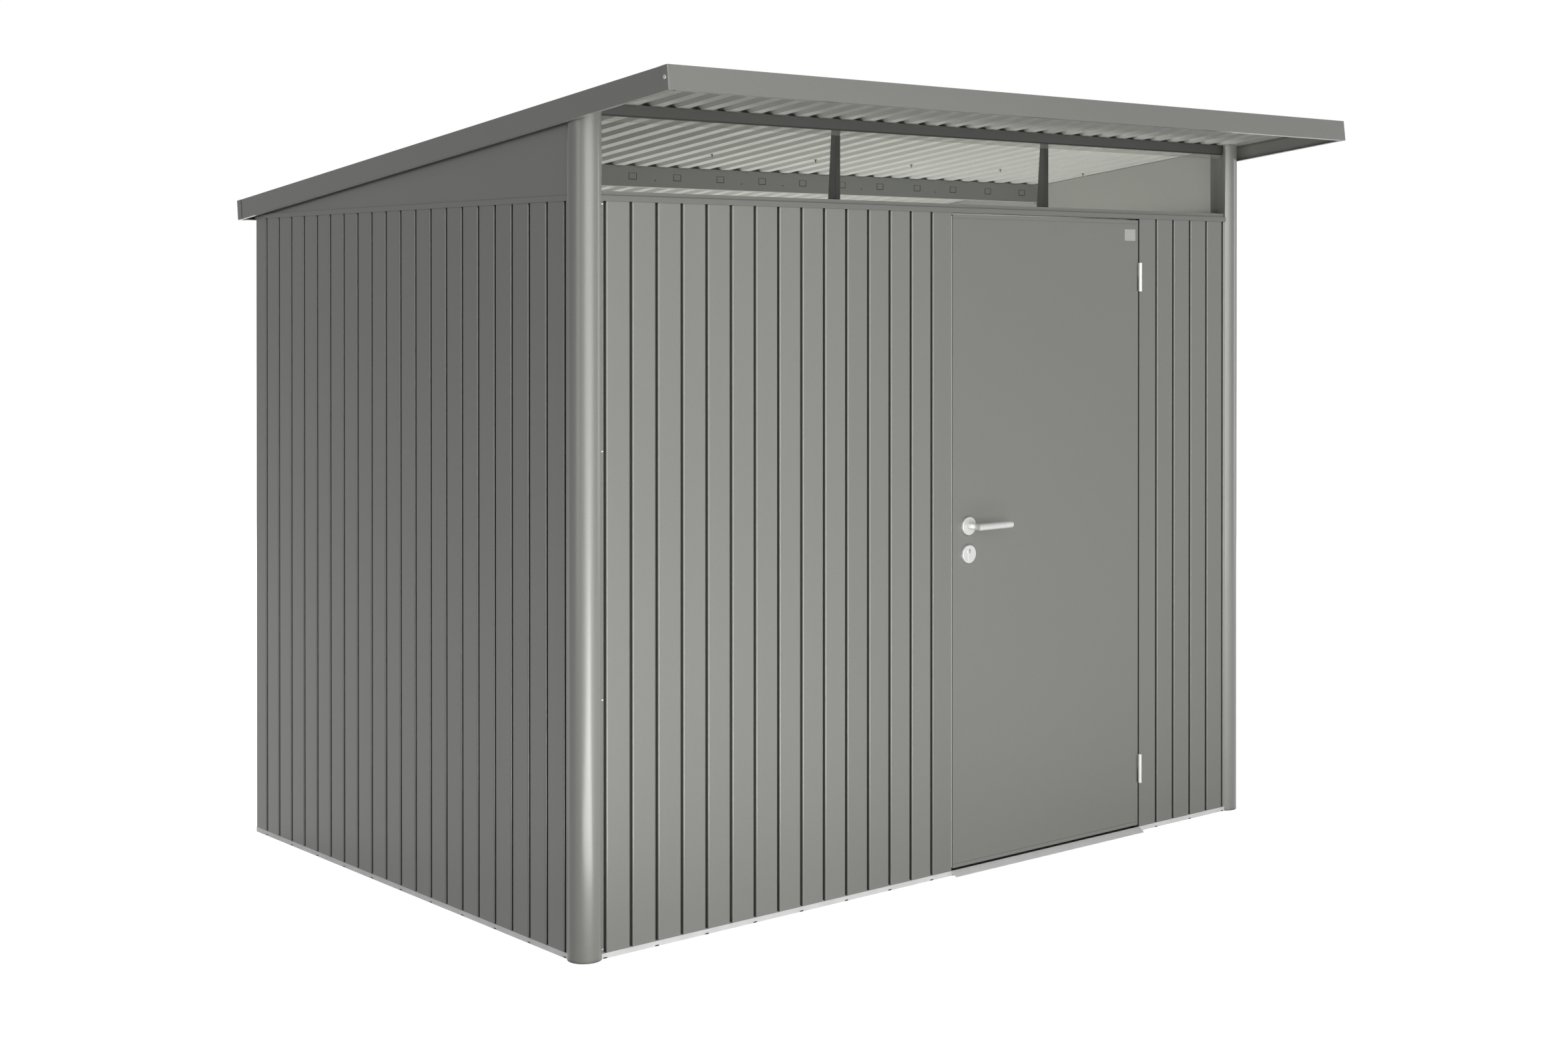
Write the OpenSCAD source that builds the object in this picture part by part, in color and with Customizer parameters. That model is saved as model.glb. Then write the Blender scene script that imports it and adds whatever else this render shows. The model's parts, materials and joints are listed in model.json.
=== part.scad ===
// Metal storage shed: ribbed steel walls between round front posts, a lean-to
// roof that falls to the back, a glazed strip under its front edge and one
// outward-opening door with a lever handle.

/* [Walls] */
// Pitches of a wide wall sheet
wide_pitches = 10; // [8:1:10]
// Distance between neighbouring wall grooves
pitch = 80; // [60:1:100]
// Pitches across the front and the back
front_pitches = 30; // [28:1:36]
// Pitches along each side
side_pitches = 20; // [12:2:26]
// From a side wall's face to the first groove of the front
front_margin = 74; // [70:1:90]
// From the front wall's face to the first groove of a side
side_margin = 69; // [66:1:90]
// Thickness of the wall sheets
sheet_t = 1; // [0.8:0.1:1.5]
// Clear width inside a groove
groove_w = 8; // [6:0.5:10]
// Depth of a groove
groove_depth = 10; // [8:0.5:14]
// Outer radius of the sheet bends beside a groove
bend_r = 4; // [3:0.5:6]
// Height of the wall sheets
sheet_h = 1875; // [1700:5:2000]

/* [Base] */
// Height of the base rail under the wall sheets
rail_h = 14; // [10:1:30]
// Width of the base rail on the ground
rail_w = 45; // [35:1:60]
// Thickness of the base rail
rail_t = 2; // [1.5:0.5:3]
// Height of the rail's upstand behind the sheets
rail_upstand = 36; // [20:1:60]
// Width of a drain notch under the rail
notch_w = 12; // [8:1:20]
// Height of a drain notch
notch_h = 4; // [3:0.5:6]
// How far the door sill slopes out in front of the wall
sill_out = 21; // [15:1:30]

/* [Posts] */
// Outer radius of the round front posts
post_r = 43.4; // [42:0.2:46]
// Wall of the posts
post_t = 1.5; // [1:0.5:2.5]
// Post axis behind the side wall's face
post_in_x = 33.7; // [32:0.1:36]
// Post axis behind the front wall's face
post_in_y = 31.2; // [30:0.1:34]

/* [Header] */
// Height of the lip that caps the wall sheets
cap_h = 14; // [10:1:20]
// Thickness of the header, gable and door sheets
frame_t = 1.2; // [1:0.1:2]
// Proud depth of the capping lip
cap_out = 2; // [1.5:0.5:4]
// Height of the glazing bed on the front header
bed_h = 11; // [8:1:20]
// Depth of the glazing bed behind the front wall's face
bed_d = 60; // [50:1:80]

/* [Roof] */
// Slope of the roof, falling to the back
slope = 6.32; // [5:0.1:9]
// Roof in front of the front wall
eave_front = 388; // [250:1:450]
// Roof behind the back wall
eave_rear = 77; // [50:1:120]
// Roof beyond each side wall
verge_out = 26; // [22:1:40]
// Height of the roof trim's face
trim_h = 60; // [45:1:70]
// Thickness of the roof trim
trim_t = 1.5; // [1:0.5:3]
// Width of the trim's top flange
trim_flange = 20; // [12:1:30]
// Width of the trim's bottom lip
trim_lip = 12; // [8:1:13]
// How far the front fascia wraps round the corners
fascia_wrap = 26; // [16:1:30]
// Radius of the bends at the fascia's corners
fold_r = 3; // [2:0.5:4]
// Pitch of the roof ribs
roof_pitch = 80; // [70:1:100]
// Height of the roof ribs
roof_rib_h = 11; // [9:0.5:14]
// Width of a rib's flat crown
crown_w = 30; // [24:1:34]
// Width of the flat between the ribs
valley_w = 34; // [28:1:36]
// Thickness of the roof sheets
roof_t = 0.8; // [0.6:0.1:1.2]
// Middle valley's place beside the shed's middle
roof_shift = 12; // [0:1:40]

/* [Front beam and glazing] */
// Beam and glazing run into the posts, this far from the side walls
beam_in = 51; // [48:1:60]
// Clearance round the beam's ends in the posts
beam_gap = 5; // [3:1:8]
// Front roof beam behind the front wall's face
beam_y = 17; // [15:1:24]
// Depth of the front roof beam
beam_d = 30; // [20:1:40]
// Height of the beam's front
beam_h = 26.5; // [15:0.5:50]
// Wall of the beam and the purlin
beam_t = 2; // [1.5:0.5:3]
// Front of the glazing behind the front wall's face
glass_y = 20; // [18:1:24]
// Height of the glazing
glass_h = 192; // [120:1:260]
// Thickness of the glazing
glass_t = 3; // [2:0.5:5]
// Glazing brackets from the middle of the shed
bracket_x = 411; // [250:1:600]
// Width of a glazing bracket
bracket_w = 15; // [10:1:25]
// Depth of a bracket at its top
bracket_top = 19; // [12:1:22]
// Depth of a bracket at its foot
bracket_foot = 33; // [24:1:36]
// Depth of the roof purlin
purlin_d = 40; // [30:1:60]
// Height of the roof purlin's front
purlin_h = 61; // [40:1:80]

/* [Door] */
// Groove that the latch side of the doorway takes the place of
door_groove = 15; // [12:1:16]
// Width of the doorway in pitches
door_pitches = 10; // [8:1:11]
// Gap between the leaf and the frame
door_gap = 5; // [5:0.5:8]
// Gap between the leaf and the sill
foot_gap = 7; // [6:0.5:12]
// Depth of the door leaf
leaf_d = 28; // [24:1:40]
// Width of the leaf's inner edge
leaf_lip = 15; // [10:1:25]
// Height of the edge strips at the leaf's top and foot
edge_strip = 11; // [8:1:20]
// Latch jamb's edge before its groove line
latch_inset = 4; // [2:0.5:8]
// Hinge jamb's edge before its groove line
hinge_inset = 1; // [0:0.5:4]
// Gap on the hinge side
hinge_gap = 6; // [5:0.5:8]
// How far a stop laps behind the leaf
stop_w = 18; // [12:1:24]

/* [Hinges] */
// Radius of a hinge knuckle
knuckle_r = 5.5; // [5:0.1:6]
// Length of a whole hinge
hinge_h = 87; // [60:1:120]
// Radius of a hinge pin
pin_r = 3; // [2.5:0.1:3.5]
// Running clearance round pins and necks
run_gap = 0.05; // [0.02:0.01:0.1]
// Hinge axis in front of the front wall's face
hinge_out = 6.5; // [6.2:0.1:8]
// Thickness of a hinge plate
plate_t = 2; // [1.5:0.1:2.4]
// From an end of the leaf to the nearer hinge
hinge_end = 130; // [60:1:300]

/* [Handle] */
// Height of the lever's axis
lever_z = 987; // [900:1:1100]
// Lever's axis from the leaf's edge
backset = 60; // [55:1:80]
// Lock below the lever's axis
lock_drop = 80; // [72:1:92]
// Radius of a rosette
rosette_r = 26; // [24:0.5:28]
// Thickness of a rosette
rosette_t = 8; // [5:0.5:10]
// Radius of the lever's bar
lever_r = 10; // [8:0.5:11]
// Lever's bar in front of the door
lever_out = 50; // [42:1:60]
// Length of the lever from its axis
lever_len = 128; // [100:1:140]
// Radius of the lever's elbow
elbow_r = 12; // [11.5:0.5:20]
// Rounding at the lever's end
tip_r = 3; // [2:0.5:6]

/* [Hidden] */
$fn = 48;
bend_steps = 3;
eps = 0.5;

paint = "#91928c";
shade = "#6f706b";
bare_metal = "#c8c8c8";
clear_sheet = "#c9d3cf";

// Overall sizes
shed_w = front_pitches * pitch + 2 * front_margin;
shed_d = side_pitches * pitch + 2 * side_margin;
sheet_z = rail_h;
sheet_top = sheet_z + sheet_h;
cap_top = sheet_top + rail_t;
cap_z = cap_top - cap_h;
bed_top = cap_top + bed_h;
wall_in = groove_depth + sheet_t;
centre_y = (shed_d + eave_rear - eave_front - trim_h * sin(slope)) / 2;

// Roof line: the trim's top over the front wall's face, and lengths down the slope
under_drop = trim_t + roof_rib_h;
beam_z = bed_top + glass_h;
roof_z = beam_z + beam_h + beam_y * tan(slope) + under_drop / cos(slope);
roof_front = eave_front / cos(slope);
roof_rear = (shed_d + eave_rear) / cos(slope);
face_x = -verge_out + trim_t;
sheet_x0 = face_x + trim_t;
sheet_x1 = shed_w - sheet_x0;
roof_third = (sheet_x1 - sheet_x0) / 3;
purlin_y = (shed_d - purlin_d) / 2;

// Doorway: from jamb edge to jamb edge, with the leaf between
open_x0 = front_margin + door_groove * pitch - latch_inset;
open_x1 = front_margin + (door_groove + door_pitches) * pitch - hinge_inset;
leaf_x0 = open_x0 + door_gap;
leaf_x1 = open_x1 - hinge_gap;
leaf_z0 = rail_h + foot_gap;
leaf_z1 = cap_z - door_gap;
stop_y = leaf_d + door_gap;
hinge_x = (leaf_x1 + open_x1) / 2;
hinge_low = leaf_z0 + hinge_end;
hinge_high = leaf_z1 - hinge_end - hinge_h;
lever_x = leaf_x0 + backset;
lock_z = lever_z - lock_drop;

// Handle and lock
spindle_r = 5;
spindle_hole = lever_r + door_gap;
case_w = 90;
case_up = 40;
case_y = leaf_d - frame_t;

// Grooves where sheets meet on the front
narrow_pitches = door_groove - 1 - wide_pitches;
right_groove = door_groove + door_pitches + 1;
right_pitches = front_pitches - right_groove;

// Underside of the roof sheets at a distance behind the front wall's face
function under_z(y) = roof_z - under_drop / cos(slope) - y * tan(slope);

// Points of an arc
function arc(c, r, a0, a1) =
    [for (i = [0 : bend_steps]) let (a = a0 + (a1 - a0) * i / bend_steps) c + r * [cos(a), sin(a)]];

// One flat of wall sheet from groove to groove, along its outer or inner face
function rib_face(s, inset) =
    let (r = bend_r - inset,
         a = s + groove_w / 2 + bend_r,
         b = s + pitch - groove_w / 2 - bend_r)
    concat([[a - r, groove_depth + inset]], arc([a, bend_r], r, 180, 270),
           arc([b, bend_r], r, 270, 360), [[b + r, groove_depth + inset]]);

function sheet_face(n, inset) =
    concat([[0, groove_depth + inset]], [for (k = [0 : n - 1]) each rib_face(k * pitch, inset)],
           [[n * pitch, groove_depth + inset]]);

function reversed(list) = [for (i = [len(list) - 1 : -1 : 0]) list[i]];

// Plan of a ribbed sheet that starts and ends in the middle of a groove
module sheet_plan(n) {
    polygon(concat(sheet_face(n, 0), reversed(sheet_face(n, sheet_t))));
}

// One face of half a groove and a flat strip beyond it
function strip_face(length, inset) =
    let (a = groove_w / 2 + bend_r)
    concat([[0, groove_depth + inset], [groove_w / 2 + inset, groove_depth + inset]],
           arc([a, bend_r], bend_r - inset, 180, 270), [[length, inset]]);

// Plan of half a groove and a flat strip beyond it
module strip_plan(length) {
    polygon(concat(strip_face(length, 0), reversed(strip_face(length, sheet_t))));
}

// One face of a folded corner with half a groove on each flank
function corner_face(inset) =
    concat([for (q = strip_face(front_margin - bend_r, inset)) [front_margin - q.x, q.y]],
           arc([bend_r, bend_r], bend_r - inset, 270, 180),
           [for (q = reversed(strip_face(side_margin - bend_r, inset))) [q.y, side_margin - q.x]]);

// Everything is drawn from the front left corner of the walls, then centred
module placed() {
    translate([-shed_w / 2, -centre_y, 0]) children();
}

// Wall frames: X runs along the wall and Y inwards
module on_left() {
    mirror([1, -1, 0]) children();
}

module on_right() {
    translate([shed_w, 0, 0]) mirror([1, 0, 0]) on_left() children();
}

module on_back() {
    translate([0, shed_d, 0]) mirror([0, 1, 0]) children();
}

module mirrored() {
    translate([shed_w, 0, 0]) mirror([1, 0, 0]) children();
}

// Roof frame: X across, Y down the slope, Z square to the roof's top
module on_roof() {
    translate([0, 0, roof_z]) rotate([-slope, 0, 0]) children();
}

// Draw a profile of X and Z along Y
module along_y(length) {
    translate([0, length, 0]) rotate([90, 0, 0]) linear_extrude(length) children();
}

// Draw a profile of Y and Z along X
module along_x(length) {
    rotate([90, 0, 90]) linear_extrude(length) children();
}

module wall_sheet(n) {
    color(paint) translate([0, 0, sheet_z]) linear_extrude(sheet_h) sheet_plan(n);
}

// Room that a post takes, for the pieces that end against it
module post_body() {
    translate([post_in_x, post_in_y, -eps]) cylinder(r = post_r, h = roof_z);
}

// Mitred end at a corner, cut away beyond the diagonal
module mitre_cut() {
    translate([0, 0, -eps]) rotate([0, 0, 45]) translate([-shed_d, 0, 0]) cube([2 * shed_d, shed_d, roof_z]);
}

// Base rail: foot on the ground, outer web, ledge under the sheets and upstand
module rail_profile() {
    square([rail_w, rail_t]);
    square([rail_t, rail_h]);
    translate([0, rail_h - rail_t]) square([wall_in + rail_t, rail_t]);
    translate([wall_in, rail_h - rail_t]) square([rail_t, rail_upstand + rail_t]);
}

module rail_run(x0, x1, first, step, last) {
    difference() {
        translate([x0, 0, 0]) along_x(x1 - x0) rail_profile();
        for (x = [first : step : last]) {
            translate([x - notch_w / 2, -eps, -eps]) cube([notch_w, rail_t + 2 * eps, notch_h + eps]);
        }
        for (x = [first : pitch : last + pitch]) {
            translate([x - groove_w / 2, rail_t, rail_h - rail_t - eps])
                cube([groove_w, groove_depth - rail_t, rail_t + 2 * eps]);
        }
    }
}

module front_left_base_rail() {
    color(bare_metal) placed() difference() {
        rail_run(post_in_x, open_x0, front_margin, 2 * pitch, front_margin + (door_groove - 1) * pitch);
        post_body();
        jamb_room(open_x0 - frame_t);
    }
}

module front_right_base_rail() {
    color(bare_metal) placed() difference() {
        rail_run(open_x1, shed_w - post_in_x, front_margin + right_groove * pitch, 2 * pitch,
                 front_margin + front_pitches * pitch);
        mirrored() post_body();
        jamb_room(open_x1);
    }
}

module side_rail() {
    difference() {
        on_left() rail_run(post_in_y, shed_d, side_margin, 2 * pitch, side_margin + side_pitches * pitch);
        post_body();
        translate([0, shed_d, 0]) mirror([0, 1, 0]) mirror([1, -1, 0]) mitre_cut();
    }
}

module left_base_rail() {
    color(bare_metal) placed() side_rail();
}

module right_base_rail() {
    color(bare_metal) placed() mirrored() side_rail();
}

module back_base_rail() {
    color(bare_metal) placed() on_back() difference() {
        rail_run(0, shed_w, front_margin, 2 * pitch, front_margin + front_pitches * pitch);
        mitre_cut();
        mirrored() mitre_cut();
    }
}

// Sill: a sheet that lies on the ground, steps up and slopes out of the doorway
module door_sill() {
    color(bare_metal) placed() translate([open_x0, 0, 0]) along_x(open_x1 - open_x0)
        polygon([[rail_w, 0], [rail_w, rail_t], [rail_t, rail_t], [rail_t, rail_h],
                 [0, rail_h], [-sill_out, rail_t], [-sill_out, 0], [0, rail_h - rail_t - rail_t / 2],
                 [0, 0]]);
}

// Round front post with half a groove on each flank, cut to the roof's slope
module front_post() {
    color(paint) {
        difference() {
            translate([post_in_x, post_in_y, 0]) cylinder(r = post_r, h = roof_z);
            translate([post_in_x, post_in_y, -eps]) cylinder(r = post_r - post_t, h = roof_z);
            on_roof() translate([-post_r, -post_r, -under_drop]) cube([4 * post_r, 4 * post_r, 2 * post_r]);
            translate([beam_in - beam_gap, 0, cap_top]) cube([2 * post_r, 2 * post_r, roof_z]);
        }
        translate([0, 0, sheet_z]) linear_extrude(sheet_h) difference() {
            union() {
                translate([front_margin, 0]) mirror([1, 0]) strip_plan(front_margin - post_in_x);
                mirror([1, -1]) translate([side_margin, 0]) mirror([1, 0]) strip_plan(side_margin - post_in_y);
            }
            translate([post_in_x, post_in_y]) circle(r = post_r - post_t / 2);
        }
    }
}

module front_left_post() {
    placed() front_post();
}

module front_right_post() {
    placed() mirrored() front_post();
}

// Folded corner between a side and the back, drawn for the left
module rear_corner() {
    color(paint) translate([0, shed_d, sheet_z]) mirror([0, 1, 0]) linear_extrude(sheet_h)
        polygon(concat(corner_face(0), reversed(corner_face(sheet_t))));
}

module rear_left_corner() {
    placed() rear_corner();
}

module rear_right_corner() {
    placed() mirrored() rear_corner();
}

module front_sheet(groove, n) {
    placed() translate([front_margin + groove * pitch, 0, 0]) wall_sheet(n);
}

module front_wide_panel() {
    front_sheet(0, wide_pitches);
}

module front_narrow_panel() {
    front_sheet(wide_pitches, narrow_pitches);
}

module front_right_panel() {
    front_sheet(right_groove, right_pitches);
}

module side_sheet(groove) {
    translate([side_margin + groove * pitch, 0, 0]) wall_sheet(side_pitches / 2);
}

module left_front_panel() {
    placed() on_left() side_sheet(0);
}

module left_rear_panel() {
    placed() on_left() side_sheet(side_pitches / 2);
}

module right_front_panel() {
    placed() on_right() side_sheet(0);
}

module right_rear_panel() {
    placed() on_right() side_sheet(side_pitches / 2);
}

module back_sheet(groove, n) {
    placed() on_back() translate([front_margin + groove * pitch, 0, 0]) wall_sheet(n);
}

module back_left_panel() {
    back_sheet(0, wide_pitches);
}

module back_middle_panel() {
    back_sheet(wide_pitches, front_pitches - 2 * wide_pitches);
}

module back_right_panel() {
    back_sheet(front_pitches - wide_pitches, wide_pitches);
}

// Jamb: half a groove, a flat, a return into the doorway and a stop behind the leaf
module jamb(length) {
    color(paint) translate([0, 0, sheet_z]) {
        linear_extrude(sheet_h) strip_plan(length);
        linear_extrude(cap_z - sheet_z) translate([length - frame_t, 0]) {
            square([frame_t, stop_y + frame_t]);
            translate([0, stop_y]) square([stop_w + frame_t, frame_t]);
        }
    }
}

// Room that a jamb's return takes over the base rail
module jamb_room(x) {
    translate([x, 0, sheet_z]) cube([frame_t, stop_y, rail_upstand + eps]);
}

module latch_jamb() {
    x = front_margin + (door_groove - 1) * pitch;
    placed() translate([x, 0, 0]) jamb(open_x0 - x);
}

module hinge_jamb() {
    x = front_margin + right_groove * pitch;
    placed() translate([x, 0, 0]) mirror([1, 0, 0]) jamb(x - open_x1);
}

// Cap over the sheets' top edges: lip, top and inner web
module cap_profile() {
    translate([-cap_out, cap_z]) square([cap_out, cap_h]);
    translate([-cap_out, sheet_top]) square([cap_out + wall_in + rail_t, rail_t]);
    translate([wall_in, cap_z]) square([rail_t, cap_h]);
}

// Header with a bed for the glazing, between the posts
module front_header_rail() {
    color(paint) placed() difference() {
        translate([post_in_x, 0, 0]) along_x(shed_w - 2 * post_in_x) {
            cap_profile();
            translate([rail_t, sheet_top]) difference() {
                square([bed_d - rail_t, bed_top - sheet_top]);
                translate([rail_t, -eps]) square([bed_d - 3 * rail_t, bed_h + eps]);
            }
        }
        post_body();
        mirrored() post_body();
    }
}

module side_cap() {
    color(paint) difference() {
        on_left() translate([post_in_y, 0, 0]) along_x(shed_d + cap_out - post_in_y) cap_profile();
        post_body();
        translate([0, shed_d, 0]) mirror([0, 1, 0]) mirror([1, -1, 0]) mitre_cut();
    }
}

module left_top_rail() {
    placed() side_cap();
}

module right_top_rail() {
    placed() mirrored() side_cap();
}

// Back cap with a web up to the roof sheets
module back_top_rail() {
    web_y = shed_d - wall_in;
    color(paint) placed() {
        on_back() difference() {
            translate([-cap_out, 0, 0]) along_x(shed_w + 2 * cap_out) cap_profile();
            mitre_cut();
            mirrored() mitre_cut();
        }
        translate([frame_t, 0, 0]) along_x(shed_w - 2 * frame_t)
            polygon([[web_y - rail_t, cap_top], [web_y, cap_top], [web_y, under_z(web_y)],
                     [web_y - rail_t, under_z(web_y - rail_t)]]);
    }
}

// Flat gable sheet from the side cap up to the roof sheets
module gable() {
    color(paint) difference() {
        along_x(frame_t) polygon([[post_in_y, cap_top], [shed_d, cap_top], [shed_d, under_z(shed_d)],
                                  [post_in_y, under_z(post_in_y)]]);
        post_body();
    }
}

module left_gable() {
    placed() gable();
}

module right_gable() {
    placed() mirrored() gable();
}

module front_glazing() {
    color(clear_sheet) placed()
        translate([beam_in, glass_y, bed_top]) cube([shed_w - 2 * beam_in, glass_t, beam_z - bed_top]);
}

// Tapered brackets behind the glazing
module glazing_brackets() {
    y = glass_y + glass_t;
    for (side = [-1, 1]) {
        color(shade) placed() translate([shed_w / 2 + side * bracket_x - bracket_w / 2, 0, 0]) along_x(bracket_w)
            polygon([[y, bed_top], [y + bracket_foot, bed_top], [y + bracket_top, beam_z], [y, beam_z]]);
    }
}

module front_roof_beam() {
    y1 = beam_y + beam_d;
    color(shade) placed() translate([beam_in, 0, 0]) along_x(shed_w - 2 * beam_in) difference() {
        polygon([[beam_y, beam_z], [y1, beam_z], [y1, under_z(y1)], [beam_y, under_z(beam_y)]]);
        polygon([[beam_y + beam_t, beam_z + beam_t], [y1 - beam_t, beam_z + beam_t],
                 [y1 - beam_t, under_z(y1 - beam_t) - beam_t],
                 [beam_y + beam_t, under_z(beam_y + beam_t) - beam_t]]);
    }
}

// Channel across the middle of the shed, open to the back
module roof_purlin() {
    y0 = purlin_y;
    y1 = purlin_y + purlin_d;
    z0 = under_z(y0) - purlin_h;
    color(shade) placed() translate([frame_t, 0, 0]) along_x(shed_w - 2 * frame_t)
        polygon([[y0, z0], [y1, z0], [y1, z0 + beam_t], [y0 + beam_t, z0 + beam_t],
                 [y0 + beam_t, under_z(y0 + beam_t) - beam_t], [y1, under_z(y1) - beam_t],
                 [y1, under_z(y1)], [y0, under_z(y0)]]);
}

// One face of a roof sheet: valley, rib, crown, rib
function roof_face(rise) =
    let (first = floor((sheet_x0 - shed_w / 2) / roof_pitch) - 1,
         last = ceil((sheet_x1 - shed_w / 2) / roof_pitch) + 1)
    [for (k = [first : last]) let (x = shed_w / 2 + roof_shift + k * roof_pitch)
        each [[x - valley_w / 2, rise], [x + valley_w / 2, rise],
              [x + (roof_pitch - crown_w) / 2, roof_rib_h - roof_t + rise],
              [x + (roof_pitch + crown_w) / 2, roof_rib_h - roof_t + rise]]];

module roof_sheet(n) {
    color(paint) placed() on_roof() translate([0, trim_t - roof_front, -under_drop])
        along_y(roof_front + roof_rear - 2 * trim_t) intersection() {
            polygon(concat(roof_face(0), reversed(roof_face(roof_t))));
            translate([sheet_x0 + n * roof_third, -eps]) square([roof_third, roof_rib_h + 2 * eps]);
        }
}

module left_roof_sheet() {
    roof_sheet(0);
}

module middle_roof_sheet() {
    roof_sheet(1);
}

module right_roof_sheet() {
    roof_sheet(2);
}

// Roof trim: face, flange over the sheets and lip below
module trim_profile() {
    translate([0, -trim_h]) square([trim_t, trim_h]);
    translate([0, -trim_t]) square([trim_flange, trim_t]);
    translate([0, -trim_h]) square([trim_lip, trim_t]);
}

module verge_trim() {
    color(paint) on_roof() translate([face_x, trim_t - roof_front, 0])
        along_y(roof_front + roof_rear - 2 * trim_t) trim_profile();
}

module left_verge_trim() {
    placed() verge_trim();
}

module right_verge_trim() {
    placed() mirrored() verge_trim();
}

// Plan of a trim that is as wide as the roof, with its two outer corners bent round
module bent_plan(wide, deep) {
    translate([0, fold_r]) square([wide, deep - fold_r]);
    translate([fold_r, 0]) square([wide - 2 * fold_r, 2 * fold_r]);
    for (x = [fold_r, wide - fold_r]) {
        translate([x, fold_r]) circle(r = fold_r);
    }
}

// Trim across the roof, with its ends folded round the verges
module cross_trim() {
    wide = shed_w + 2 * verge_out;
    translate([-verge_out, 0, -trim_h]) linear_extrude(trim_h) difference() {
        bent_plan(wide, fascia_wrap);
        translate([trim_t, trim_t]) square([wide - 2 * trim_t, fascia_wrap]);
    }
    translate([sheet_x0 + trim_flange - trim_t, 0, 0])
        along_x(sheet_x1 - sheet_x0 - 2 * trim_flange + 2 * trim_t) trim_profile();
}

module front_fascia() {
    color(paint) placed() on_roof() translate([0, -roof_front, 0]) cross_trim();
}

module rear_eave_trim() {
    color(paint) placed() on_roof() translate([0, roof_rear, 0]) mirror([0, 1, 0]) cross_trim();
}

// Lower half of a lift-off hinge: knuckle, pin and plate on the jamb
module hinge_pin(z) {
    translate([hinge_x, -hinge_out, z]) {
        cylinder(r = knuckle_r, h = hinge_h / 2);
        cylinder(r = pin_r, h = hinge_h - plate_t);
    }
    translate([open_x1 - plate_t, -hinge_out, z]) cube([plate_t, leaf_d + hinge_out - bend_r, hinge_h / 2]);
}

module hinge_pins() {
    color(bare_metal) placed() for (z = [hinge_low, hinge_high]) hinge_pin(z);
}

// Upper half: a sleeve over the pin and its plate on the leaf
module hinge_sleeve(z) {
    z0 = z + hinge_h / 2 + run_gap;
    difference() {
        union() {
            translate([hinge_x, -hinge_out, z0]) cylinder(r = knuckle_r, h = hinge_h / 2);
            translate([leaf_x1, -hinge_out, z0]) cube([plate_t, leaf_d + hinge_out - bend_r, hinge_h / 2]);
        }
        translate([hinge_x, -hinge_out, z]) cylinder(r = pin_r + run_gap, h = hinge_h - plate_t + run_gap);
    }
}

module hinge_sleeves() {
    color(bare_metal) placed() for (z = [hinge_low, hinge_high]) hinge_sleeve(z);
}

// Door leaf: a sheet pan with folded edges and narrow inner lips
module door_leaf() {
    w = leaf_x1 - leaf_x0;
    h = leaf_z1 - leaf_z0;
    seam = frame_t / 2;
    color(paint) placed() translate([leaf_x0, 0, leaf_z0]) difference() {
        cube([w, leaf_d, h]);
        translate([frame_t, frame_t, frame_t]) cube([w - 2 * frame_t, leaf_d - 2 * frame_t, h - 2 * frame_t]);
        translate([leaf_lip, leaf_d / 2, leaf_lip]) cube([w - 2 * leaf_lip, leaf_d, h - 2 * leaf_lip]);
        for (z = [edge_strip, h - edge_strip]) {
            translate([-eps, -eps, z - seam]) cube([w + 2 * eps, seam + eps, 2 * seam]);
        }
        translate([backset, -eps, lever_z - leaf_z0]) rotate([-90, 0, 0]) cylinder(r = spindle_hole, h = leaf_d / 2);
        translate([backset, -eps, lock_z - leaf_z0]) rotate([-90, 0, 0]) cylinder(r = spindle_hole, h = leaf_d / 2);
    }
}

// Lock case inside the leaf, between its outer sheet and the open back
module lock_case() {
    color(shade) placed() difference() {
        translate([leaf_x0 + frame_t, frame_t, lock_z - case_up])
            cube([case_w, leaf_d - 2 * frame_t, lock_drop + 2 * case_up]);
        translate([lever_x, 0, lever_z]) rotate([-90, 0, 0]) cylinder(r = spindle_r + run_gap, h = 2 * leaf_d);
    }
}

// Round rosette with a dished rim
module rosette(bore) {
    rim = rosette_t / 4;
    rotate([90, 0, 0]) rotate_extrude()
        polygon(concat([[bore, 0], [rosette_r, 0]], arc([rosette_r - rim, rosette_t - rim], rim, 0, 90),
                       [[bore, rosette_t]]));
}

// Rosettes of the lever and the lock on the door's face, and one behind the lock case
module rosettes() {
    color(bare_metal) placed() {
        translate([lever_x, 0, lever_z]) rosette(lever_r + run_gap);
        translate([lever_x, 0, lock_z]) {
            difference() {
                rosette(eps);
                rotate([90, 0, 0]) cylinder(r = rosette_r / 3, h = 3 * rosette_t, center = true);
            }
            rotate([90, 0, 0]) cylinder(r = rosette_r / 3, h = rosette_t);
        }
        translate([lever_x, case_y, lever_z]) mirror([0, 1, 0]) rosette(lever_r + run_gap);
    }
}

// One lever: neck, tight elbow and bar with its end rounded
module lever_arm() {
    bar = lever_len - elbow_r;
    rotate([90, 0, 0]) cylinder(r = lever_r, h = lever_out - elbow_r);
    translate([elbow_r, elbow_r - lever_out, 0]) rotate([0, 0, 180]) rotate_extrude(angle = 90)
        translate([elbow_r, 0]) circle(r = lever_r);
    translate([elbow_r, -lever_out, 0]) rotate([0, 90, 0]) rotate_extrude()
        polygon(concat([[0, 0], [lever_r, 0]], arc([lever_r - tip_r, bar - tip_r], tip_r, 0, 90), [[0, bar]]));
}

// Outer lever with the spindle that carries the inner one
module lever_handle() {
    color(bare_metal) placed() translate([lever_x, 0, lever_z]) {
        lever_arm();
        rotate([-90, 0, 0]) cylinder(r = spindle_r, h = case_y);
    }
}

module inner_lever() {
    color(bare_metal) placed() translate([lever_x, case_y, lever_z]) mirror([0, 1, 0]) lever_arm();
}

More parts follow.
